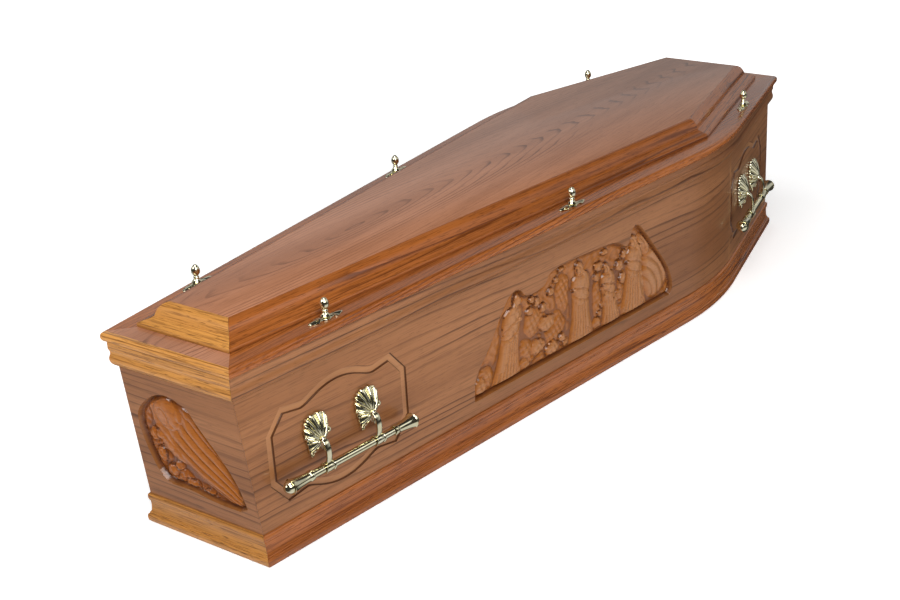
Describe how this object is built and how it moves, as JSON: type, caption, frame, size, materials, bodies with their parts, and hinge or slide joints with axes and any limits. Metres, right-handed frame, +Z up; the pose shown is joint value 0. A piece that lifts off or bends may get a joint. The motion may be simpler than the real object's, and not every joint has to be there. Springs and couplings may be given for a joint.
{
  "type": "wooden coffin",
  "caption": "Closed shouldered coffin of lacquered oak veneer with a raised lid, mouldings all round, carved side and foot boards, brass bar handles and brass lid screws.",
  "frame": {"origin": "on the ground, under the middle of the box's length and width", "axes": "+X from the foot end to the head end, +Y from the near side to the far side, +Z up"},
  "size_m": [2, 0.5958, 0.4434],
  "materials": {
    "veneer": "gloss lacquered tan-brown veneer",
    "lid_veneer": "satin lacquered grey-brown veneer",
    "oak": "gloss lacquered red-brown oak moulding",
    "pale_oak": "gloss lacquered honey oak moulding",
    "brass": "polished pale brass"
  },
  "bodies": {
    "root": {"floor_board": "veneer", "near_side_board": "veneer", "far_side_board": "veneer", "foot_board": "veneer", "head_board": "veneer", "near_base_moulding": "oak", "far_base_moulding": "oak", "foot_base_moulding": "pale_oak", "head_base_moulding": "oak", "near_upper_moulding": "oak", "far_upper_moulding": "oak", "foot_upper_moulding": "pale_oak", "head_upper_moulding": "oak", "lid_board": "lid_veneer", "near_foot_side_lid_strip": "oak", "far_foot_side_lid_strip": "oak", "near_head_side_lid_strip": "oak", "far_head_side_lid_strip": "oak", "foot_lid_strip": "pale_oak", "head_lid_strip": "oak", "top_panel": "lid_veneer", "near_foot_handle_bracket_1": "brass", "near_foot_handle_bracket_2": "brass", "near_foot_handle_bar": "brass", "near_foot_handle_cap_1": "brass", "near_foot_handle_cap_2": "brass", "near_head_handle_bracket_1": "brass", "near_head_handle_bracket_2": "brass", "near_head_handle_bar": "brass", "near_head_handle_cap_1": "brass", "near_head_handle_cap_2": "brass", "near_foot_lid_screw_plate": "brass", "near_foot_lid_screw": "brass", "near_middle_lid_screw_plate": "brass", "near_middle_lid_screw": "brass", "near_head_lid_screw_plate": "brass", "near_head_lid_screw": "brass", "far_foot_handle_bracket_1": "brass", "far_foot_handle_bracket_2": "brass", "far_foot_handle_bar": "brass", "far_foot_handle_cap_1": "brass", "far_foot_handle_cap_2": "brass", "far_head_handle_bracket_1": "brass", "far_head_handle_bracket_2": "brass", "far_head_handle_bar": "brass", "far_head_handle_cap_1": "brass", "far_head_handle_cap_2": "brass", "far_foot_lid_screw_plate": "brass", "far_foot_lid_screw": "brass", "far_middle_lid_screw_plate": "brass", "far_middle_lid_screw": "brass", "far_head_lid_screw_plate": "brass", "far_head_lid_screw": "brass"}
  },
  "joints": []
}
